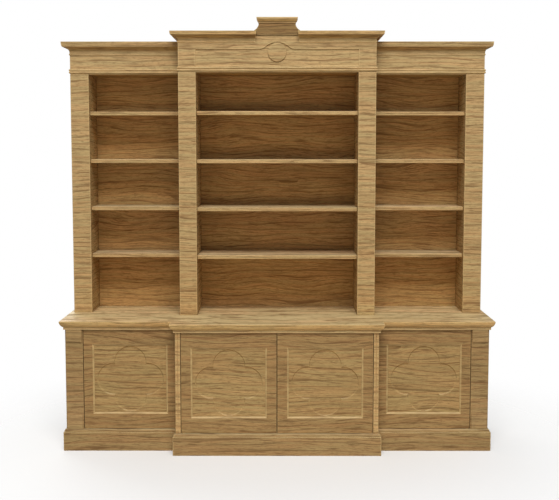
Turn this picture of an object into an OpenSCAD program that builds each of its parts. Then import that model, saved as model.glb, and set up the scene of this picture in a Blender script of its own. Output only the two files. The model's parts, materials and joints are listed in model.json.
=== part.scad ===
// Breakfront bookcase in pale oak, made at one twelfth of full size.
// The front faces -Y, +Z is up, and the origin is on the floor at the middle of the plan.
// The centre of both the cupboard base and the open upper case stands forward of the wings.

/* [Carcase] */
// Width of the base across its two ends
base_w = 193; // [190:0.5:200]
// Depth of a base wing, from its front to the back of the case
base_d = 47.9; // [44:0.1:54]
// Height from the floor to the top of the counter
base_h = 60; // [56:0.5:66]
// Width of the centre that stands forward
centre_w = 91.4; // [90:0.2:93]
// How far the centre stands forward of the wings
break_d = 8.3; // [6:0.1:12]
// Thickness of the back boards
back_t = 1.6; // [1.2:0.1:2]

/* [Base] */
// Height of the plinth
plinth_h = 10; // [9:0.5:12]
// How far the plinth stands out from the case
plinth_out = 1.3; // [1.1:0.1:1.6]
// Thickness of the base ends
end_t = 2.4; // [2:0.1:3]
// Thickness of the two partitions, whose front edges show beside the doors
partition_t = 2.3; // [2:0.1:3]
// Width of each corner post
post_w = 8; // [7:0.1:9]
// Thickness of the counter board
counter_t = 2.8; // [2.4:0.1:3]
// How far the nose of the counter stands out from the case
nose_out = 2.4; // [2:0.1:3]
// Thickness of the board under the counter, whose edge shows as a fillet
base_top_t = 1.2; // [1.2:0.1:1.6]

/* [Doors] */
// Thickness of a door frame
door_t = 2.4; // [2.2:0.1:2.6]
// Gap at a door's hinge edge
hinge_gap = 0.25; // [0.25:0.05:0.5]
// Gap between the two centre doors
meeting_gap = 0.35; // [0.3:0.05:0.8]
// Width of the sunk panel's window, over its sloped edge
window_w = 34.2; // [32:0.2:35]
// Height of the sunk panel's window, over its sloped edge
window_h = 32.2; // [31:0.2:34]
// Radius of each lobe of the sunk quatrefoil
lobe_r = 7.4; // [6.6:0.1:7.4]
// Distance from the middle of the door to the middle of a lobe
lobe_offset = 7.8; // [7:0.1:7.8]
// Radius of a hinge pin
pin_r = 0.3; // [0.3:0.05:0.4]

/* [Upper case] */
// Width of the upper case across its two ends
upper_w = 194; // [188:0.5:200]
// Depth of an upper wing, from its front to the back of the case
upper_d = 22.7; // [20:0.1:28]
// Width of the outer stiles
stile_w = 8.6; // [7:0.1:10]
// Width of the pilasters beside the centre bay
pilaster_w = 8.15; // [7:0.05:9]
// Height of a wing bay, from the counter to its lintel
wing_bay_h = 112.5; // [111:0.5:115]
// Height of the centre bay, from the counter to its lintel
centre_bay_h = 113; // [112:0.5:114]
// Thickness of a shelf
shelf_t = 1.8; // [1.2:0.1:2]
// Distance from the bay's front to the front of its shelves
shelf_setback = 2.3; // [1:0.1:4]
// Height from the counter to the underside of the lowest shelf
first_shelf = 26.3; // [24:0.1:28]
// Distance from one shelf to the next
shelf_pitch = 22.4; // [20:0.1:23]

/* [Frieze and cornice] */
// Height of the upper wings above the counter
wing_h = 127.4; // [126:0.1:130]
// Height of the upper centre above the counter
centre_h = 131.5; // [131:0.1:138]
// How far the cornice stands out
cornice_out = 3.5; // [3.5:0.1:4.5]
// Height of the cornice of a wing
wing_cornice_h = 6.2; // [5.8:0.1:6.2]
// Height of the cornice of the centre
centre_cornice_h = 5.2; // [4.8:0.1:5.6]
// Half the width of the crest, at its cap and at the top of the cornice
crest_half_w = 9.5; // [9:0.1:12]

/* [Hidden] */
$fn = 48;
SHELVES = 4;
ARC_STEPS = 16;

// Plan: the back is at the largest Y and the nose of the centre counter at the smallest
overall_d = base_d + break_d + nose_out;
back_y = overall_d / 2;
back_front_y = back_y - back_t;
base_wing_y = back_y - base_d;
base_centre_y = base_wing_y - break_d;
upper_wing_y = back_y - upper_d;
upper_centre_y = upper_wing_y - break_d;
centre_x = centre_w / 2;

// Heights of the base
counter_z = base_h - counter_t;
base_top_z = counter_z - base_top_t;
base_top_out = 0.7;
nose_under = 1.5;
floor_t = 1.6;
plinth_in = end_t;
plinth_round = 0.9;
plinth_fillet_h = 0.5;

// Corner posts and partitions
post_t = 2.4;
post_inner_x = base_w / 2 - post_w;
block_out = 0.5;
block_margin = 0.5;
cap_block_h = 5.8;
foot_block_h = 7;
foot_splay_h = 1;
edge_groove = 0.25;
edge_foot_h = 6.2;
edge_foot_out = 0.3;

// Doors, with the hinge axis just inside the hinge edge and close to the front face
door_inset = 0.3;
door_z_gap = 0.15;
door_h = base_top_z - plinth_h - 2 * door_z_gap;
pin_edge = 1;
pin_depth = 0.6;
pin_clearance = 0.05;
pin_in_door = 1.6;
pin_in_case = 0.95;
bore_depth = 1.05;
collar_r = 0.6;
collar_h = 0.12;
window_slope = 0.7;
slope_depth = 0.55;
panel_sink = 0.7;
panel_t = 1.2;
lobe_depth = 0.45;

// Upper case
facing_t = 2;
deck_t = 1.6;
end_inner_x = upper_w / 2 - stile_w;
pilaster_inner_x = centre_x - pilaster_w;
wing_top_z = base_h + wing_h;
centre_top_z = base_h + centre_h;
wing_lintel_z = base_h + wing_bay_h;
centre_lintel_z = base_h + centre_bay_h;

// Mouldings
fascia_h = 2;
centre_fascia_h = 1.6;
fascia_under = 0.25;
cornice_fillet_h = 0.3;
cornice_fillet_out = 0.2;
cornice_bead_h = 1;
cornice_bead_out = 0.3;
cornice_back_t = 0.1;
reed_r = 0.5;
reed_pitch = 1.05;
reed_back = 0.2;
astragal_rise = 0.4;
astragal_h = reed_pitch + 2 * reed_r;

// Sunk panel of the centre frieze, whose top edge arches over a roundel
sunk_depth = 0.5;
sunk_half_w = 37.6;
sunk_top_z = centre_top_z - 8.1;
sunk_foot_z = centre_lintel_z + astragal_rise + astragal_h + 0.5;
arch_r = 8.2;
arch_foot_r = 5;
arch_crest_z = centre_top_z - 4.9;
roundel_r = 4.3;
roundel_z = arch_crest_z - roundel_r - 0.2;
roundel_t = 0.6;

// Crest, in line with the frieze. The cornice stops on both sides of it.
crest_out = 0.7;
crest_splay = 0.15;
crest_d = 6.8;
crest_back_y = upper_centre_y - crest_out + crest_d;
crest_body_half_w = 8.2;
crest_body_h = 4.2;
crest_band_h = 0.6;
crest_band_out = 0.4;
crest_flare_r = 3.9;
crest_flare_step = 0.2;
crest_flare_w = 2.4;
crest_neck_h = 0.2;
crest_cap_h = 1.9;
crest_cap_under = 0.9;

OAK = "#c8a570";
OAK_BACK = "#a98552";
OAK_DOOR = "#b48c52";
BRASS = "#c9a24b";

BAYS = ["left", "centre", "right"];
// Each door: name, part of the base, and the side of the bookcase
DOORS = [
    ["left_wing_door", "wing", -1],
    ["left_centre_door", "centre", -1],
    ["right_centre_door", "centre", 1],
    ["right_wing_door", "wing", 1]
];

function door_w(part) = part == "wing"
    ? post_inner_x - centre_x - 2 * hinge_gap
    : centre_x - partition_t - hinge_gap - meeting_gap / 2;
function door_x(part) = part == "wing"
    ? -post_inner_x + hinge_gap
    : -centre_x + partition_t + hinge_gap;
function door_y(part) = (part == "wing" ? base_wing_y : base_centre_y) + door_inset;

// Plan outline of the base, moved outwards by a distance, with its back edge at y
function base_outline(out, y) = [
    [-base_w / 2 - out, y],
    [-base_w / 2 - out, base_wing_y - out],
    [-centre_x - out, base_wing_y - out],
    [-centre_x - out, base_centre_y - out],
    [centre_x + out, base_centre_y - out],
    [centre_x + out, base_wing_y - out],
    [base_w / 2 + out, base_wing_y - out],
    [base_w / 2 + out, y]
];

// Draws for the left side, or mirrored for the right
module on_side(side) {
    mirror([side > 0 ? 1 : 0, 0, 0]) children();
}

// A box given by its lowest and highest corners
module box(low, high) {
    translate(low) cube(high - low);
}

// A straight moulding along +X that faces -Y. The child is its section: X outwards, Y up.
// Each end is cut square (0) or mitred for an outer corner (1) or an inner corner (-1).
module strip(length, ends, inner, outer, height) {
    overlap = 4 * (outer - inner);
    intersection() {
        linear_extrude(height)
            polygon([
                [-ends[0] * inner, -inner],
                [length + ends[1] * inner, -inner],
                [length + ends[1] * outer, -outer],
                [-ends[0] * outer, -outer]
            ]);
        translate([length / 2, 0, 0])
            rotate([90, 0, -90])
                linear_extrude(length + overlap, center = true) children();
    }
}

// A board with the child section along its front and both sides. Its back edge is at Y = 0.
module edged_board(width, depth, height) {
    reach = 2 * (width + depth);
    intersection() {
        translate([0, -depth, 0])
            rotate([90, 0, -90])
                linear_extrude(reach, center = true) {
                    translate([-depth, 0]) square([depth, height]);
                    children();
                }
        rotate([90, 0, 0])
            linear_extrude(reach, center = true) {
                translate([-width / 2, 0]) square([width, height]);
                translate([width / 2, 0]) children();
                mirror([1, 0]) translate([width / 2, 0]) children();
            }
    }
}

// Section of a face that is upright at its top and curves under, by `under` at its foot
module ovolo(out, height, under) {
    radius = (height * height + under * under) / (2 * under);
    intersection() {
        square([out + 1, height]);
        translate([out - radius, height]) circle(radius);
    }
}

// ---- Plinth ----

// Plain board with a ledge, a small fillet and a quarter-round along its top
module plinth_section() {
    round_z = plinth_h - plinth_round;
    translate([-plinth_in, 0]) square([plinth_in, plinth_h]);
    square([plinth_out, round_z - plinth_fillet_h]);
    square([plinth_round, round_z]);
    intersection() {
        square([plinth_round + 1, plinth_h + 1]);
        translate([0, round_z]) circle(plinth_round);
    }
}

module plinth_strip(length, ends) {
    strip(length, ends, -plinth_in, plinth_out, plinth_h) plinth_section();
}

// Blind hole in the plinth for the lower pin of a left door
module lower_pin_bore(part) {
    translate([door_x(part) + pin_edge, door_y(part) + pin_depth, plinth_h - bore_depth])
        cylinder(h = bore_depth + 1, r = pin_r + pin_clearance);
}

module plinth_wing(side) {
    color(OAK_DOOR) on_side(side) {
        translate([-base_w / 2, back_y, 0])
            rotate([0, 0, -90]) plinth_strip(base_d, [0, 1]);
        difference() {
            translate([-base_w / 2, base_wing_y, 0])
                plinth_strip(base_w / 2 - centre_x, [1, -1]);
            lower_pin_bore("wing");
        }
    }
}

module plinth_centre() {
    color(OAK_DOOR) {
        difference() {
            translate([-centre_x, base_centre_y, 0]) plinth_strip(centre_w, [1, 1]);
            for (side = [-1, 1]) on_side(side) lower_pin_bore("centre");
        }
        for (side = [-1, 1])
            on_side(side)
                translate([-centre_x, base_wing_y, 0])
                    rotate([0, 0, -90]) plinth_strip(break_d, [-1, 1]);
    }
}

// ---- Base carcase ----

module base_floor() {
    color(OAK)
        translate([0, 0, plinth_h - floor_t])
            linear_extrude(floor_t) polygon(base_outline(-plinth_in, back_front_y));
}

module base_end(side) {
    color(OAK_DOOR) on_side(side)
        box([-base_w / 2, base_wing_y + post_t, plinth_h],
            [-base_w / 2 + end_t, back_y, base_top_z]);
}

// The front edge of each partition shows as a strip with a fine groove and a small foot
module base_partition(side) {
    edge_x = -centre_x + partition_t / 2;
    color(OAK) on_side(side) {
        difference() {
            box([-centre_x, base_centre_y, plinth_h],
                [-centre_x + partition_t, back_front_y, base_top_z]);
            box([edge_x - edge_groove / 2, base_centre_y - 1, plinth_h + edge_foot_h],
                [edge_x + edge_groove / 2, base_centre_y + edge_groove, base_top_z + 1]);
        }
        box([-centre_x, base_centre_y - edge_foot_out, plinth_h],
            [-centre_x + partition_t, base_centre_y, plinth_h + edge_foot_h]);
    }
}

// Square post with a block at its top, and a taller block with a splayed top at its foot
module corner_post(side) {
    block_x = -base_w / 2 + block_margin;
    block_w = post_w - 2 * block_margin;
    color(OAK_DOOR) on_side(side) {
        box([-base_w / 2, base_wing_y, plinth_h],
            [-post_inner_x, base_wing_y + post_t, base_top_z]);
        translate([block_x, base_wing_y - block_out, base_top_z - cap_block_h])
            cube([block_w, block_out, cap_block_h]);
        translate([block_x + block_w, base_wing_y, plinth_h])
            rotate([90, 0, -90])
                linear_extrude(block_w)
                    polygon([
                        [0, 0],
                        [block_out, 0],
                        [block_out, foot_block_h - foot_splay_h],
                        [0, foot_block_h]
                    ]);
    }
}

module base_back() {
    color(OAK_BACK)
        box([-base_w / 2 + end_t, back_front_y, 0],
            [base_w / 2 - end_t, back_y, base_top_z]);
}

// Top board of the base, with a blind hole above each door's upper pin
module base_top() {
    color(OAK) difference() {
        translate([0, 0, base_top_z])
            linear_extrude(base_top_t) polygon(base_outline(base_top_out, back_y));
        for (door = DOORS)
            on_side(door[2])
                translate([
                    door_x(door[1]) + pin_edge,
                    door_y(door[1]) + pin_depth,
                    base_top_z - 1
                ])
                    cylinder(h = bore_depth + 1, r = pin_r + pin_clearance);
    }
}

module counter() {
    color(OAK) translate([0, back_y, counter_z]) {
        edged_board(base_w, base_d, counter_t) ovolo(nose_out, counter_t, nose_under);
        edged_board(centre_w, base_d + break_d, counter_t) ovolo(nose_out, counter_t, nose_under);
    }
}

// ---- Doors, drawn as left doors with the hinge edge at X = 0 and the front at Y = 0 ----

module place_door(part, side) {
    on_side(side)
        translate([door_x(part), door_y(part), plinth_h + door_z_gap]) children();
}

// Block with sloped sides that narrows from the front face inwards
module sloped_block(width, height, inset, depth) {
    module slope(across, along) {
        linear_extrude(along, center = true)
            polygon([
                [-across / 2, -1],
                [across / 2, -1],
                [across / 2, 0],
                [across / 2 - inset, depth],
                [inset - across / 2, depth],
                [-across / 2, 0]
            ]);
    }
    intersection() {
        slope(width, height + 1);
        rotate([0, 90, 0]) slope(height, width + 1);
    }
}

module hinge_holes() {
    for (z = [-1, door_h - pin_in_door])
        translate([pin_edge, pin_depth, z]) cylinder(h = pin_in_door + 1, r = pin_r);
}

// One board with a sloped window in front and a rebate for the panel behind
module door_frame(part, side) {
    width = door_w(part);
    opening_w = window_w - 2 * window_slope;
    opening_h = window_h - 2 * window_slope;
    color(OAK_DOOR) place_door(part, side) difference() {
        cube([width, door_t, door_h]);
        translate([width / 2, 0, door_h / 2]) {
            sloped_block(window_w, window_h, window_slope, slope_depth);
            box([-opening_w / 2, 0, -opening_h / 2], [opening_w / 2, door_t, opening_h / 2]);
            box([-window_w / 2, panel_sink, -window_h / 2],
                [window_w / 2, door_t + 1, window_h / 2]);
        }
        hinge_holes();
    }
}

// Cutter for one lobe, which narrows from the panel's face down to its sunk floor
module sunk_lobe() {
    rotate([90, 0, 0])
        cylinder(h = 2 * lobe_depth, r1 = lobe_r - lobe_depth, r2 = lobe_r + lobe_depth);
}

// Panel with a sunk quatrefoil of four equal lobes
module door_panel(part, side) {
    color(OAK_DOOR) place_door(part, side)
        translate([door_w(part) / 2, panel_sink, door_h / 2]) difference() {
            box([-window_w / 2, 0, -window_h / 2], [window_w / 2, panel_t, window_h / 2]);
            for (turn = [0:90:270])
                rotate([0, turn, 0]) translate([lobe_offset, lobe_depth, 0]) sunk_lobe();
            // Joins the lobes in the middle
            translate([0, lobe_depth, 0])
                rotate([90, 0, 0]) cylinder(h = 2 * lobe_depth, r = lobe_offset / 3);
        }
}

// Upper and lower hinge pins, the lower one with a collar under the door
module door_pins(part, side) {
    length = pin_in_door + door_z_gap + pin_in_case;
    color(BRASS) place_door(part, side) translate([pin_edge, pin_depth, 0]) {
        translate([0, 0, door_h - pin_in_door]) cylinder(h = length, r = pin_r);
        translate([0, 0, pin_in_door - length]) cylinder(h = length, r = pin_r);
        translate([0, 0, -collar_h]) cylinder(h = collar_h, r = collar_r);
    }
}

// ---- Upper case ----

module end_upright(side) {
    color(OAK) on_side(side)
        box([-upper_w / 2, upper_wing_y + facing_t, base_h],
            [-end_inner_x, back_y, wing_top_z]);
}

module inner_upright(side) {
    color(OAK) on_side(side)
        box([-centre_x, upper_centre_y + facing_t, base_h],
            [-pilaster_inner_x, back_front_y, centre_top_z]);
}

module stile(side) {
    color(OAK) on_side(side)
        box([-upper_w / 2, upper_wing_y, base_h],
            [-end_inner_x, upper_wing_y + facing_t, wing_lintel_z]);
}

module pilaster(side) {
    color(OAK) on_side(side)
        box([-centre_x, upper_centre_y, base_h],
            [-pilaster_inner_x, upper_centre_y + facing_t, centre_lintel_z]);
}

module upper_back() {
    color(OAK_BACK) {
        box([-end_inner_x, back_front_y, base_h], [end_inner_x, back_y, wing_top_z]);
        box([-centre_x, back_front_y, base_h], [centre_x, back_y, centre_top_z]);
    }
}

// Board across one bay: setback from the bay's front, height of its underside, thickness
module bay_board(bay, setback, z, thickness) {
    if (bay == "centre")
        box([-pilaster_inner_x, upper_centre_y + setback, z],
            [pilaster_inner_x, back_front_y, z + thickness]);
    else
        on_side(bay == "left" ? -1 : 1)
            box([-end_inner_x, upper_wing_y + setback, z],
                [-centre_x, back_front_y, z + thickness]);
}

module shelf(bay, level) {
    color(OAK)
        bay_board(bay, shelf_setback, base_h + first_shelf + (level - 1) * shelf_pitch, shelf_t);
}

module bay_top(bay) {
    lintel_z = bay == "centre" ? centre_lintel_z : wing_lintel_z;
    color(OAK) bay_board(bay, facing_t, lintel_z, deck_t);
}

module top_boards() {
    color(OAK) for (bay = BAYS)
        bay_board(bay, facing_t, (bay == "centre" ? centre_top_z : wing_top_z) - deck_t, deck_t);
}

module wing_frieze(side) {
    color(OAK) on_side(side)
        box([-upper_w / 2, upper_wing_y, wing_lintel_z],
            [-centre_x, upper_wing_y + facing_t, wing_top_z]);
}

// Points along an arc in the X-Z plane
function arc(centre, radius, from, to) = [
    for (i = [0:ARC_STEPS])
        let (angle = from + (to - from) * i / ARC_STEPS)
            centre + radius * [cos(angle), sin(angle)]
];

// Outline of the sunk panel: up its left end, along, over the arch with a hollow curve at each
// of its feet, along and down the right end
function sunk_outline() =
    let (
        arch_z = arch_crest_z - arch_r,
        hollow_z = sunk_top_z + arch_foot_r,
        turn = asin((hollow_z - arch_z) / (arch_r + arch_foot_r)),
        hollow_x = (arch_r + arch_foot_r) * cos(turn)
    )
    concat(
        [[-sunk_half_w, sunk_foot_z], [-sunk_half_w, sunk_top_z]],
        arc([-hollow_x, hollow_z], arch_foot_r, -90, -turn),
        arc([0, arch_z], arch_r, 180 - turn, turn),
        arc([hollow_x, hollow_z], arch_foot_r, 180 + turn, 270),
        [[sunk_half_w, sunk_top_z], [sunk_half_w, sunk_foot_z]]
    );

module centre_frieze() {
    color(OAK) difference() {
        box([-centre_x, upper_centre_y, centre_lintel_z],
            [centre_x, upper_centre_y + facing_t, centre_top_z]);
        translate([0, upper_centre_y + sunk_depth, 0])
            rotate([90, 0, 0]) linear_extrude(sunk_depth + 1) polygon(sunk_outline());
    }
}

// Disc that stands on the floor of the sunk panel, just proud of the frieze
module frieze_roundel() {
    color(OAK)
        translate([0, upper_centre_y + sunk_depth, roundel_z])
            rotate([90, 0, 0]) cylinder(h = roundel_t, r = roundel_r);
}

// ---- Mouldings of the upper case ----

// Two half-round reeds on a thin backing
module astragal_section() {
    square([reed_back, astragal_h]);
    for (i = [0, 1])
        intersection() {
            translate([0, reed_r + i * reed_pitch]) circle(reed_r);
            square([reed_r, astragal_h]);
        }
}

module astragal_strip(length, ends) {
    strip(length, ends, 0, reed_r, astragal_h) astragal_section();
}

// Mitred lengths across the wings and their ends, and round the centre
module astragal() {
    wing_z = wing_lintel_z + astragal_rise;
    centre_z = centre_lintel_z + astragal_rise;
    color(OAK) {
        for (side = [-1, 1]) on_side(side) {
            translate([-upper_w / 2, back_y, wing_z])
                rotate([0, 0, -90]) astragal_strip(upper_d, [0, 1]);
            translate([-upper_w / 2, upper_wing_y, wing_z])
                astragal_strip(upper_w / 2 - centre_x, [1, 0]);
            translate([-centre_x, upper_wing_y - reed_r, centre_z])
                rotate([0, 0, -90]) astragal_strip(break_d - reed_r, [0, 1]);
        }
        translate([-centre_x, upper_centre_y, centre_z]) astragal_strip(centre_w, [1, 1]);
    }
}

// From the bottom: a small bead, a cove, a narrow fillet and a fascia whose foot curves under
module cornice_section(height, fascia) {
    cove_r = height - fascia - cornice_fillet_h - cornice_bead_h;
    bead_r = cornice_bead_h / 2;
    square([cornice_back_t, height]);
    intersection() {
        translate([cornice_bead_out - bead_r, bead_r]) circle(bead_r);
        square([cornice_bead_out, cornice_bead_h]);
    }
    translate([0, cornice_bead_h]) {
        difference() {
            square(cove_r);
            translate([cove_r, 0]) circle(cove_r);
        }
        translate([0, cove_r]) square([cove_r + cornice_fillet_out, cornice_fillet_h]);
    }
    translate([0, height - fascia]) ovolo(cornice_out, fascia, fascia_under);
}

module wing_cornice(side) {
    bottom_z = wing_top_z - wing_cornice_h;
    color(OAK) on_side(side) {
        translate([-upper_w / 2, back_y, bottom_z])
            rotate([0, 0, -90])
                strip(upper_d, [0, 1], 0, cornice_out, wing_cornice_h)
                    cornice_section(wing_cornice_h, fascia_h);
        translate([-upper_w / 2, upper_wing_y, bottom_z])
            strip(upper_w / 2 - centre_x, [1, 0], 0, cornice_out, wing_cornice_h)
                cornice_section(wing_cornice_h, fascia_h);
    }
}

// The sides are cut level with the wings' tops, and the front length is cut away where the
// crest block comes down over it
module centre_cornice() {
    bottom_z = centre_top_z - centre_cornice_h;
    side_d = upper_d + break_d;
    color(OAK) {
        for (side = [-1, 1]) on_side(side) difference() {
            translate([-centre_x, back_y, bottom_z])
                rotate([0, 0, -90])
                    strip(side_d, [0, 1], 0, cornice_out, centre_cornice_h)
                        cornice_section(centre_cornice_h, centre_fascia_h);
            box([-centre_x - cornice_out - 1, upper_wing_y - cornice_out, bottom_z - 1],
                [-centre_x + 1, back_y + 1, wing_top_z]);
        }
        difference() {
            translate([-centre_x, upper_centre_y, bottom_z])
                strip(centre_w, [1, 1], 0, cornice_out, centre_cornice_h)
                    cornice_section(centre_cornice_h, centre_fascia_h);
            crest_plate(-centre_cornice_h - 1, 1, cornice_out + 1);
        }
    }
}

// Plate on the front of the frieze, between two heights above the centre's top, wider at its foot
module crest_plate(low, high, out) {
    translate([0, upper_centre_y, centre_top_z])
        rotate([90, 0, 0])
            linear_extrude(out)
                polygon([
                    [-crest_half_w + crest_splay * low, low],
                    [crest_half_w - crest_splay * low, low],
                    [crest_half_w - crest_splay * high, high],
                    [-crest_half_w + crest_splay * high, high]
                ]);
}

// Section of the hollow foot that spreads on each side of the crest block
module crest_flare() {
    difference() {
        square([crest_flare_w, crest_body_h - crest_band_h]);
        translate([crest_flare_step + crest_flare_r, crest_flare_r]) circle(crest_flare_r);
    }
}

module crest_block() {
    color(OAK) {
        crest_plate(-centre_fascia_h, 0, crest_out);
        translate([0, crest_back_y, centre_top_z]) {
            edged_board(2 * crest_body_half_w, crest_d, crest_body_h)
                translate([0, crest_body_h - crest_band_h]) square([crest_band_out, crest_band_h]);
            for (side = [-1, 1]) on_side(side)
                rotate([90, 0, 0])
                    linear_extrude(crest_d)
                        mirror([1, 0]) translate([crest_body_half_w, 0]) crest_flare();
        }
    }
}

// Flat cap on a narrow neck, standing out on the front and both sides
module crest_cap() {
    cap_out = crest_half_w - crest_body_half_w;
    color(OAK) translate([0, crest_back_y, centre_top_z + crest_body_h]) {
        box([-crest_body_half_w, -crest_d, 0], [crest_body_half_w, 0, crest_neck_h]);
        translate([0, 0, crest_neck_h])
            edged_board(2 * crest_body_half_w, crest_d, crest_cap_h)
                ovolo(cap_out, crest_cap_h, crest_cap_under);
    }
}

plinth_wing(-1);  // plinth_left
plinth_centre();
plinth_wing(1);  // plinth_right
base_floor();
base_end(-1);  // base_end_left
base_end(1);  // base_end_right
base_partition(-1);  // base_partition_left
base_partition(1);  // base_partition_right
corner_post(-1);  // corner_post_left
corner_post(1);  // corner_post_right
base_back();
base_top();
counter();
for (door = DOORS) {
    door_frame(door[1], door[2]);
    door_panel(door[1], door[2]);
    door_pins(door[1], door[2]);
}
end_upright(-1);  // end_upright_left
end_upright(1);  // end_upright_right
inner_upright(-1);  // inner_upright_left
inner_upright(1);  // inner_upright_right
stile(-1);  // stile_left
stile(1);  // stile_right
pilaster(-1);  // pilaster_left
pilaster(1);  // pilaster_right
upper_back();
for (bay = BAYS) {
    for (i = [1:SHELVES])
        shelf(bay, i);
    bay_top(bay);
}
wing_frieze(-1);  // left_frieze
centre_frieze();
wing_frieze(1);  // right_frieze
frieze_roundel();
astragal();
top_boards();
wing_cornice(-1);  // left_cornice
centre_cornice();
wing_cornice(1);  // right_cornice
crest_block();
crest_cap();
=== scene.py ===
import json
import math
import random

import bpy
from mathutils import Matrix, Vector

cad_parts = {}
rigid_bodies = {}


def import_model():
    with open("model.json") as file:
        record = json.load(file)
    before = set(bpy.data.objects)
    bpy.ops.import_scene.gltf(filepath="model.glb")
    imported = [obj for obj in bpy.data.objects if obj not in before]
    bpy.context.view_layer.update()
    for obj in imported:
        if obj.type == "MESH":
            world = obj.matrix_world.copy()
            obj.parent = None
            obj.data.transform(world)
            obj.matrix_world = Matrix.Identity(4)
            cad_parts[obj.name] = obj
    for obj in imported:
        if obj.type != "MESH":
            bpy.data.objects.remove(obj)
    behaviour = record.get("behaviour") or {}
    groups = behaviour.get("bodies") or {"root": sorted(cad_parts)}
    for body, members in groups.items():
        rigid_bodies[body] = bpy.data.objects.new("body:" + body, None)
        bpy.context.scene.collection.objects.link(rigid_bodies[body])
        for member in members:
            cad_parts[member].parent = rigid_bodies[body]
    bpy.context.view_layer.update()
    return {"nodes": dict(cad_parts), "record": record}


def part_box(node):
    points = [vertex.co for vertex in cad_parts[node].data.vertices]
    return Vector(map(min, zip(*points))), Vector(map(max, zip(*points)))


# A dolls' house breakfront bookcase in oak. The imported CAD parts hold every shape, so this
# script softens their edges, gives each board its own oak, and sets up floor, light and camera.
# In the tables below, the first word that a node's name holds picks the row, and "" fits any name.

MM = 0.001

# Camera: place in metres in the frame of the parts, and angles in degrees
CAMERA_PLACE = Vector((0.0023, -0.5003, 0.1379))
CAMERA_PITCH = 5.4
CAMERA_YAW = 0.14
CAMERA_LENS = 69.0
CAMERA_CLIP = (0.01, 20)
SENSOR_WIDTH = 36

# Radius of the softened edges, in metres
EDGE_RADIUS = {
    "pins": 0.0,
    "astragal": 0.06 * MM,
    "roundel": 0.2 * MM,
    "door": 0.08 * MM,
    "corner_post": 0.08 * MM,
    "shelf": 0.25 * MM,
    "counter": 0.2 * MM,
    "": 0.15 * MM,
}
EDGE_SEGMENTS = 2
# Corners closer than this are one, and the angles, in degrees, under which faces count as one
# flat face, over which an edge is sharp, and over which it is softened
JOINED_WITHIN = 0.002 * MM
FLAT_ANGLE = 0.5
SHARP_ANGLE = 30
SOFTENED_ANGLE = 35

# Mean colour of each board, in linear RGB
OAK = {
    "back": (0.52, 0.33, 0.13),
    "door_panel": (0.395, 0.267, 0.109),
    "door_frame": (0.35, 0.224, 0.09),
    "partition": (0.53, 0.357, 0.158),
    "plinth": (0.355, 0.235, 0.098),
    "corner_post": (0.34, 0.224, 0.094),
    # The counter's paler colour is partly painted sheen on its top and painted light on its nose
    "counter": (0.585, 0.40, 0.17),
    "shelf": (0.50, 0.345, 0.158),
    # The crest block's dark colour is painted shade, for the shadow under its cap
    "crest_block": (0.265, 0.162, 0.056),
    "crest_cap": (0.60, 0.44, 0.22),
    "centre_cornice": (0.56, 0.39, 0.175),
    "": (0.49, 0.345, 0.16),
}
# The wood between the streaks, the streaks, and the open pores, each as a share of that colour
OAK_PALE = (1.20, 1.21, 1.23)
OAK_STREAK = (0.86, 0.82, 0.76)
OAK_PORE = (0.34, 0.24, 0.16)
# The wood drifts between a redder and a greener tan
REDDER = (1.05, 0.97, 0.915)
GREENER = (0.975, 1.015, 0.98)
# Painted light: faces that look up are painted paler, as lit tops, and faces that look down are painted
# darker and browner, as shaded undersides
PAINTED_TOP_LIGHT = (1.16, 1.28, 1.60)
PAINTED_UNDERSIDE_SHADE = (1.02, 0.90, 0.68)
# Pale colour of arrises and slopes: partly wear, partly painted highlight
WORN_AND_LIT_OAK = (0.95, 0.74, 0.36)

# Boards are cut at random from a block of timber of this size, in mm
TIMBER_SIZE = 900
TIMBER_SEED = 12
# Scale of the figure along a board, from front to back and from top to foot
UPRIGHT_FIGURE = (1.0, 0.08, 1.0)
LEVEL_FIGURE = (0.45, 0.10, 1.0)
# A face counts as level, or as a side, when its normal's share of that axis is over this
FACES_AXIS = 0.7
# What the noise draws in the wood: its length along the grain and its width across it, in mm
WANDER = (45, 16)
UNEVEN_RINGS = (60, 5)
BROKEN_LINES = (11, 0.9)
DASHES = (8, 0.28)
FLECKS = (2.0, 0.26)
FIBRES = (20, 0.45)
BROAD_TONE = (70, 7)
DRIFT = (30, 1.3)
WEAR_AND_LIGHT_PATCHES = (6, 3)
# How far the grain wanders, in mm, and the shares of it along, from front to back and upwards
FIGURE = {"door": 8.0, "back": 9.0, "": 4.0}
WANDER_SHARES = (0, 0.2, 1)
# Growth rings: their spacing in mm, their lean from front to back, and how unevenly they grow
RING_SPACING = 2.7
RING_LEAN = 2.4
RING_UNEVENNESS = 2.6
# Shares of a ring over which its early wood, and the dark line that begins it, die away
EARLY_WOOD = (0.0, 0.45)
DARK_LINE = (0.05, 0.26)
# How dark the open pores are, how much they roughen the waxed wood, and how deep they are
PORE_SHARE = 0.71
PORE_ROUGHNESS = 0.2
PORE_DEPTH = 0.05 * MM
WAXED_ROUGHNESS = (0.46, 0.58)

# How far the arrises of a node, and its sloped edges, are made pale, from 0 to 1: partly wear and partly
# painted highlight
WEAR_AND_LIGHT_ARRISES = {"door": 0.15, "corner_post": 0.15, "partition": 0.3, "roundel": 0.3, "": 1.0}
WEAR_AND_LIGHT_SLOPES = {"door_frame": 0.85, "door_panel": 0.12, "counter": 0.5, "": 0.0}
RUBBED_BLOCKS = 0.22
WEAR_AND_LIGHT_MOST = 0.8
ARRIS_REACH = 0.8 * MM
# A corner post's two blocks are what lies within this of its foremost face, in mm
BLOCK_DEPTH = 0.25
NO_BLOCKS = -99.0
# How far from an inner corner the painted shade reaches, and how dark it is
CORNER_SHADE_REACH = 2.2 * MM
CORNER_SHADE_SHARE = 0.15

BRASS = (0.74, 0.52, 0.2)
TARNISH = (0.5, 0.33, 0.12)
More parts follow.
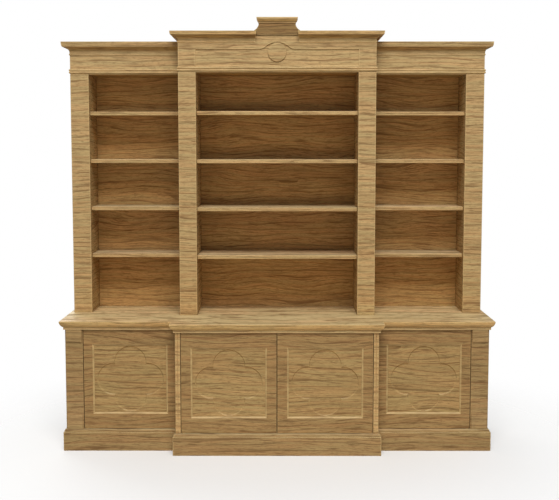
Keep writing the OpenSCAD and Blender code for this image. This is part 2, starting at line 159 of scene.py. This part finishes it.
# Scratches per metre across a pin and along it, and the tarnish's scale as a share of theirs
SCRATCHES = (9000, 9000, 1500)
TARNISH_SCALE = (0.1, 0.1, 0.4)
SCRATCH_DEPTH = 0.01 * MM
BRASS_ROUGHNESS = (0.22, 0.42)

# Area lights, aimed at the middle of the object: place, size, power and colour
LIGHT_AIM = Vector((0, 0, 0.1))
LIGHTS = {
    "key": ((0.03, -0.60, 0.80), (0.5, 0.4), 7.3, (1.0, 0.985, 0.97)),
    "warm_bounce": ((0.0, -0.62, 0.03), (0.7, 0.12), 0.55, (1.0, 0.72, 0.42)),
    "rear_fill": ((-0.35, 0.80, 0.50), (0.8, 0.6), 4.0, (1.0, 1.0, 1.0)),
}
SKY_SEEN = 1.0
SKY_LIGHT = 0.24

# Floor card: it is solid near the object and has faded away at its rim, in metres from the middle
FLOOR_FADE = (0.05, 0.20)
FLOOR_ALPHA = 0.75
FLOOR_SIDES = 96
FLOOR_FIBRES = 900
FLOOR_TONES = ((0.93, 0.928, 0.92), (0.96, 0.958, 0.952))


class Tree:
    """Adds nodes to a node tree, in the fewest words."""

    def __init__(self, tree):
        self.tree = tree

    def add(self, kind, inputs=None, **settings):
        node = self.tree.nodes.new(kind)
        for name, value in settings.items():
            setattr(node, name, value)
        for name, value in (inputs or {}).items():
            self.feed(node.inputs[name], value)
        return node

    def feed(self, socket, value):
        if isinstance(value, bpy.types.NodeSocket):
            self.tree.links.new(value, socket)
        else:
            socket.default_value = value

    def math(self, operation, a, b=0.0, c=0.0):
        return self.add("ShaderNodeMath", {0: a, 1: b, 2: c}, operation=operation).outputs[0]

    def vector(self, operation, a, b=(0, 0, 0)):
        node = self.add("ShaderNodeVectorMath", {0: a, 1: b}, operation=operation)
        return node.outputs["Value" if operation in ("DOT_PRODUCT", "LENGTH") else "Vector"]

    def scaled(self, vector, scale):
        inputs = {0: vector, "Scale": scale}
        return self.add("ShaderNodeVectorMath", inputs, operation="SCALE").outputs["Vector"]

    def split(self, vector):
        return self.add("ShaderNodeSeparateXYZ", {0: vector}).outputs

    def noise(self, vector, detail=2.0, roughness=0.5):
        inputs = {"Vector": vector, "Scale": 1.0, "Detail": detail, "Roughness": roughness}
        return self.add("ShaderNodeTexNoise", inputs).outputs

    def drawn_out(self, place, size, detail=2.0, roughness=0.5):
        """Noise whose marks are as long along the grain, and as wide across it, as size says."""
        length, width = size
        stretched = self.vector("MULTIPLY", place, (1 / length, 1 / width, 1 / width))
        return self.noise(stretched, detail, roughness)

    def ramp(self, value, low, high, start=0.0, end=1.0):
        inputs = {0: value, 1: low, 2: high, 3: start, 4: end}
        node = self.add("ShaderNodeMapRange", inputs, interpolation_type="SMOOTHSTEP")
        return node.outputs[0]

    def mix(self, factor, a, b, blend="MIX"):
        node = self.add("ShaderNodeMix", {0: factor, 6: a, 7: b}, data_type="RGBA", blend_type=blend)
        return node.outputs[2]

    def mix_vectors(self, factor, a, b):
        return self.add("ShaderNodeMix", {0: factor, 4: a, 5: b}, data_type="VECTOR").outputs[1]

    def bump(self, height, strength, distance):
        node = self.add("ShaderNodeBump", {"Height": height})
        node.inputs["Strength"].default_value = strength
        node.inputs["Distance"].default_value = distance
        return node.outputs[0]


def opaque(colour):
    return (*colour, 1.0)


def first_match(table, name):
    """The value of the first word of the table that the name holds."""
    return next(value for word, value in table.items() if word in name)


def new_material(name):
    """A material, its tree and its shader."""
    material = bpy.data.materials.new(name)
    material.use_nodes = True
    return material, Tree(material.node_tree), material.node_tree.nodes["Principled BSDF"]


def clear_scene():
    for thing in list(bpy.data.objects):
        bpy.data.objects.remove(thing)


# ---- Oak ----

def board_coordinates(t, offset):
    """Millimetres with X along the grain, which runs level on every face of the object.

    Boards are sawn flat, so the figure on their level faces is far wider and longer.
    """
    place = t.add("ShaderNodeTexCoord").outputs
    mm = t.scaled(place["Object"], 1 / MM)
    parts = t.split(mm)
    turned = t.add("ShaderNodeCombineXYZ", {0: parts[1], 1: parts[0], 2: parts[2]}).outputs[0]
    facing = t.split(place["Normal"])
    sideways = t.math("GREATER_THAN", t.math("ABSOLUTE", facing[0]), FACES_AXIS)
    level = t.math("GREATER_THAN", t.math("ABSOLUTE", facing[2]), FACES_AXIS)
    along = t.mix_vectors(sideways, mm, turned)
    scale = t.mix_vectors(level, UPRIGHT_FIGURE, LEVEL_FIGURE)
    return t.vector("ADD", t.vector("MULTIPLY", along, scale), offset)


def wandering_grain(t, place, figure):
    """The grain wanders slowly, by up to `figure` mm, which draws waves and flames."""
    wander = t.drawn_out(place, WANDER, 1.0)["Color"]
    wander = t.vector("SUBTRACT", wander, (0.5, 0.5, 0.5))
    wander = t.vector("MULTIPLY", wander, WANDER_SHARES)
    return t.vector("ADD", place, t.scaled(wander, figure))


def growth_rings(t, place):
    """The early wood of each ring, and the broken dark line of crowded pores that begins it."""
    parts = t.split(place)
    depth = t.math("MULTIPLY_ADD", parts[1], RING_LEAN, parts[2])
    uneven = t.math("MULTIPLY", t.drawn_out(place, UNEVEN_RINGS, 1.0)["Fac"], RING_UNEVENNESS)
    rings = t.math("FRACT", t.math("ADD", t.math("DIVIDE", depth, RING_SPACING), uneven))
    early = t.math("SUBTRACT", 1.0, t.ramp(rings, *EARLY_WOOD))
    line = t.math("SUBTRACT", 1.0, t.ramp(rings, *DARK_LINE))
    broken = t.ramp(t.drawn_out(place, BROKEN_LINES)["Fac"], 0.38, 0.58)
    return early, t.math("MULTIPLY", line, broken)


def open_pores(t, place, early, line):
    """Fine dark dashes and flecks along the grain, most of them in the early wood."""
    dash = t.drawn_out(place, DASHES, 3.0, 0.6)["Fac"]
    dash = t.ramp(t.math("MULTIPLY_ADD", early, 0.05, dash), 0.53, 0.64)
    fleck = t.ramp(t.drawn_out(place, FLECKS, 1.0)["Fac"], 0.54, 0.70, 0.0, 0.6)
    return t.math("MAXIMUM", t.math("MAXIMUM", dash, line), fleck)


def wood_colour(t, place, given, early, fibre):
    """Streaks of fibre, a broad tone and a slight drift of hue."""
    broad = t.drawn_out(place, BROAD_TONE)["Fac"]
    streak = t.math("ADD", t.ramp(fibre, 0.30, 0.72, 0.0, 0.55), t.ramp(broad, 0.3, 0.7, 0.0, 0.35))
    streak = t.math("MULTIPLY_ADD", early, 0.22, streak)
    colour = t.mix(streak, given["Pale"], given["Streak"])
    drift = t.ramp(t.drawn_out(place, DRIFT)["Fac"], 0.35, 0.65)
    return t.mix(1.0, colour, t.mix(drift, opaque(REDDER), opaque(GREENER)), "MULTIPLY")


def painted_top_light_and_underside_shade(t, colour, upwards):
    """Painted light: paler where the face looks up, and darker and browner where it looks down, as lit
    tops and shaded undersides.
    """
    up = t.ramp(upwards, 0.5, 0.95)
    down = t.ramp(upwards, -0.6, -0.1, 1.0, 0.0)
    colour = t.mix(up, colour, t.mix(1.0, colour, opaque(PAINTED_TOP_LIGHT), "MULTIPLY"))
    return t.mix(down, colour, t.mix(1.0, colour, opaque(PAINTED_UNDERSIDE_SHADE), "MULTIPLY"))


def wear_and_painted_light(t, place, given, facing, open_air):
    """How far the wood is made pale: on open arrises and on slopes, partly wear and partly painted
    highlight, and on a post's two blocks.
    """
    rounded = t.add("ShaderNodeBevel", {"Radius": ARRIS_REACH}, samples=4).outputs[0]
    true_normal = t.add("ShaderNodeNewGeometry").outputs["True Normal"]
    bend = t.math("SUBTRACT", 1.0, t.vector("DOT_PRODUCT", rounded, true_normal))
    arris = t.math("MULTIPLY", t.ramp(bend, 0.0, 0.12), t.ramp(open_air, 0.5, 0.9))
    arris = t.math("MULTIPLY", arris, given["Wear And Light Arrises"])

    forward = t.math("ABSOLUTE", facing[1])
    slope = t.math("MULTIPLY", t.ramp(forward, 0.60, 0.68), t.ramp(forward, 0.92, 0.98, 1.0, 0.0))
    slope = t.math("MULTIPLY", slope, given["Wear And Light Slopes"])

    front = t.split(t.add("ShaderNodeTexCoord").outputs["Object"])[1]
    block = t.math("LESS_THAN", t.math("DIVIDE", front, MM), given["Blocks Before"])
    block = t.math("MULTIPLY", block, RUBBED_BLOCKS)

    patchy = t.ramp(t.drawn_out(place, WEAR_AND_LIGHT_PATCHES)["Fac"], 0.3, 0.7, 0.5, 1.0)
    most = t.math("MAXIMUM", t.math("MAXIMUM", arris, slope), block)
    return t.math("MULTIPLY", most, t.math("MULTIPLY", patchy, WEAR_AND_LIGHT_MOST))


def oak_group():
    """Node group with a board's colour, roughness and height, shared by every oak material."""
    group = bpy.data.node_groups.new("oak", "ShaderNodeTree")
    sockets = {
        "NodeSocketVector": ["Offset"],
        "NodeSocketFloat": ["Figure", "Wear And Light Arrises", "Wear And Light Slopes", "Blocks Before"],
        "NodeSocketColor": ["Pale", "Streak", "Pore"],
    }
    for kind, names in sockets.items():
        for name in names:
            group.interface.new_socket(name, in_out="INPUT", socket_type=kind)
    group.interface.new_socket("Color", in_out="OUTPUT", socket_type="NodeSocketColor")
    group.interface.new_socket("Roughness", in_out="OUTPUT", socket_type="NodeSocketFloat")
    group.interface.new_socket("Height", in_out="OUTPUT", socket_type="NodeSocketFloat")

    t = Tree(group)
    given = t.add("NodeGroupInput").outputs
    place = wandering_grain(t, board_coordinates(t, given["Offset"]), given["Figure"])
    early, line = growth_rings(t, place)
    pores = open_pores(t, place, early, line)
    fibre = t.drawn_out(place, FIBRES, 3.0, 0.6)["Fac"]
    facing = t.split(t.add("ShaderNodeTexCoord").outputs["Normal"])
    open_air = t.add("ShaderNodeAmbientOcclusion", {"Distance": CORNER_SHADE_REACH}, samples=4).outputs["AO"]

    # Painted light: paler tops and darker, browner undersides
    colour = painted_top_light_and_underside_shade(t, wood_colour(t, place, given, early, fibre), facing[2])
    colour = t.mix(t.math("MULTIPLY", pores, PORE_SHARE), colour, given["Pore"])
    pale = t.mix(0.5, given["Pale"], opaque(WORN_AND_LIT_OAK))
    # Paler arrises and slopes: partly wear, partly painted highlight that lifts shaded curves
    colour = t.mix(wear_and_painted_light(t, place, given, facing, open_air), colour, pale)
    # Painted shade: darker towards inner corners, creases and recesses, by ambient occlusion
    colour = t.mix(t.ramp(open_air, 0.05, 0.6, CORNER_SHADE_SHARE, 0.0), colour, given["Pore"])

    roughness = t.math("MULTIPLY_ADD", pores, PORE_ROUGHNESS, t.ramp(fibre, 0.2, 0.8, *WAXED_ROUGHNESS))
    height = t.math("SUBTRACT", t.math("MULTIPLY", fibre, 0.35), pores)
    t.add("NodeGroupOutput", {"Color": colour, "Roughness": roughness, "Height": height})
    return group


def blocks_before(name):
    """Depth, in mm, in front of which a corner post's blocks lie; no other node has any."""
    if "corner_post" in name:
        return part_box(name)[0].y / MM + BLOCK_DEPTH
    return NO_BLOCKS


def oak_material(name, offset, group):
    material, t, shader = new_material(name + "_oak")
    mean = first_match(OAK, name)
    oak = t.add("ShaderNodeGroup", node_tree=group)
    settings = {
        "Offset": offset,
        "Figure": first_match(FIGURE, name),
        "Wear And Light Arrises": first_match(WEAR_AND_LIGHT_ARRISES, name),
        "Wear And Light Slopes": first_match(WEAR_AND_LIGHT_SLOPES, name),
        "Blocks Before": blocks_before(name),
        "Pale": opaque([a * b for a, b in zip(mean, OAK_PALE)]),
        "Streak": opaque([a * b for a, b in zip(mean, OAK_STREAK)]),
        "Pore": opaque([a * b for a, b in zip(mean, OAK_PORE)]),
    }
    for socket, value in settings.items():
        oak.inputs[socket].default_value = value
    t.feed(shader.inputs["Base Color"], oak.outputs["Color"])
    t.feed(shader.inputs["Roughness"], oak.outputs["Roughness"])
    t.feed(shader.inputs["Normal"], t.bump(oak.outputs["Height"], 0.5, PORE_DEPTH))
    shader.inputs["Specular IOR Level"].default_value = 0.35
    return material


def brass_material():
    material, t, shader = new_material("drawn_brass")
    place = t.vector("MULTIPLY", t.add("ShaderNodeTexCoord").outputs["Object"], SCRATCHES)
    scratches = t.noise(place, 3.0, 0.6)["Fac"]
    tarnish = t.ramp(t.noise(t.vector("MULTIPLY", place, TARNISH_SCALE))["Fac"], 0.35, 0.7)
    t.feed(shader.inputs["Base Color"], t.mix(tarnish, opaque(BRASS), opaque(TARNISH)))
    t.feed(shader.inputs["Roughness"], t.ramp(scratches, 0.2, 0.8, *BRASS_ROUGHNESS))
    t.feed(shader.inputs["Normal"], t.bump(scratches, 0.3, SCRATCH_DEPTH))
    shader.inputs["Metallic"].default_value = 1.0
    return material


def finish_nodes():
    """Gives every CAD node its material: each board is cut from its own place in the timber."""
    group = oak_group()
    brass = brass_material()
    slots = {part["node"]: part["material_slot"] for part in frame["record"]["subparts"]}
    pick = random.Random(TIMBER_SEED)
    for name in sorted(frame["nodes"]):
        offset = [pick.uniform(0, TIMBER_SIZE) for _ in range(3)]
        material = brass if slots[name] == "hinge_brass" else oak_material(name, offset, group)
        frame["nodes"][name].material_slots[0].material = material


# ---- Softened edges ----

def joined_corners():
    """Geometry nodes that join a CAD mesh's split corners and shade it smooth between its edges."""
    group = bpy.data.node_groups.new("joined_corners", "GeometryNodeTree")
    group.interface.new_socket("Geometry", in_out="INPUT", socket_type="NodeSocketGeometry")
    group.interface.new_socket("Geometry", in_out="OUTPUT", socket_type="NodeSocketGeometry")
    t = Tree(group)
    mesh = t.add("NodeGroupInput").outputs[0]
    mesh = t.add("GeometryNodeMergeByDistance", {"Geometry": mesh, "Distance": JOINED_WITHIN}).outputs[0]
    mesh = t.add("GeometryNodeRemoveAttribute", {"Geometry": mesh, "Name": "custom_normal"}).outputs[0]
    mesh = t.add("GeometryNodeSetShadeSmooth", {"Geometry": mesh, "Shade Smooth": True}).outputs[0]
    angle = t.add("GeometryNodeInputMeshEdgeAngle").outputs["Unsigned Angle"]
    limits = {0: angle, 1: math.radians(SHARP_ANGLE)}
    sharp = t.add("FunctionNodeCompare", limits, operation="GREATER_THAN").outputs[0]
    creased = {"Geometry": mesh, "Selection": sharp, "Shade Smooth": False}
    mesh = t.add("GeometryNodeSetShadeSmooth", creased, domain="EDGE").outputs[0]
    t.add("NodeGroupOutput", {0: mesh})
    return group


def soften_edges():
    group = joined_corners()
    for name, node in frame["nodes"].items():
        node.modifiers.new("joined_corners", "NODES").node_group = group
        flat = node.modifiers.new("flat_faces", "DECIMATE")
        flat.decimate_type = "DISSOLVE"
        flat.angle_limit = math.radians(FLAT_ANGLE)
        flat.delimit = {"NORMAL"}
        radius = first_match(EDGE_RADIUS, name)
        if radius:
            bevel = node.modifiers.new("softened_edges", "BEVEL")
            bevel.width = radius
            bevel.segments = EDGE_SEGMENTS
            bevel.limit_method = "ANGLE"
            bevel.angle_limit = math.radians(SOFTENED_ANGLE)
            bevel.harden_normals = True


# ---- Floor, light and camera ----

def make_floor():
    """A pale floor that fades into the white surroundings, so that no horizon shows."""
    bpy.ops.mesh.primitive_circle_add(vertices=FLOOR_SIDES, radius=FLOOR_FADE[1], fill_type="NGON")
    floor = bpy.context.object
    floor.name = "floor"
    material, t, shader = new_material("floor_card")
    place = t.add("ShaderNodeTexCoord").outputs["Object"]
    fibres = t.noise(t.vector("MULTIPLY", place, (FLOOR_FIBRES,) * 3), 3.0)["Fac"]
    darker, paler = FLOOR_TONES
    t.feed(shader.inputs["Base Color"], t.mix(fibres, opaque(darker), opaque(paler)))
    t.feed(shader.inputs["Alpha"], t.ramp(t.vector("LENGTH", place), *FLOOR_FADE, FLOOR_ALPHA, 0.0))
    shader.inputs["Roughness"].default_value = 0.7
    shader.inputs["Specular IOR Level"].default_value = 0.2
    floor.data.materials.append(material)


def make_world():
    """White surroundings, which light the object less than they show."""
    world = bpy.data.worlds.new("white_room")
    world.use_nodes = True
    t = Tree(world.node_tree)
    background = world.node_tree.nodes["Background"]
    seen = t.add("ShaderNodeLightPath").outputs["Is Camera Ray"]
    strength = t.math("MULTIPLY_ADD", seen, SKY_SEEN - SKY_LIGHT, SKY_LIGHT)
    background.inputs["Color"].default_value = opaque((1.0, 1.0, 1.0))
    t.feed(background.inputs["Strength"], strength)
    bpy.context.scene.world = world


def make_lights():
    for name, (place, size, power, colour) in LIGHTS.items():
        data = bpy.data.lights.new(name, "AREA")
        data.shape = "RECTANGLE"
        data.size, data.size_y = size
        data.energy = power
        data.color = colour
        light = bpy.data.objects.new(name, data)
        light.location = place
        light.rotation_euler = (LIGHT_AIM - Vector(place)).to_track_quat("-Z", "Y").to_euler()
        bpy.context.scene.collection.objects.link(light)


def make_camera():
    data = bpy.data.cameras.new("camera")
    data.sensor_width = SENSOR_WIDTH
    data.lens = CAMERA_LENS
    data.clip_start, data.clip_end = CAMERA_CLIP
    camera = bpy.data.objects.new("camera", data)
    camera.location = CAMERA_PLACE
    camera.rotation_euler = (math.radians(90 - CAMERA_PITCH), 0, math.radians(CAMERA_YAW))
    bpy.context.scene.collection.objects.link(camera)
    bpy.context.scene.camera = camera


clear_scene()
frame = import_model()
make_camera()
make_world()
make_floor()
make_lights()
finish_nodes()
soften_edges()
bpy.context.scene.view_settings.view_transform = "Standard"
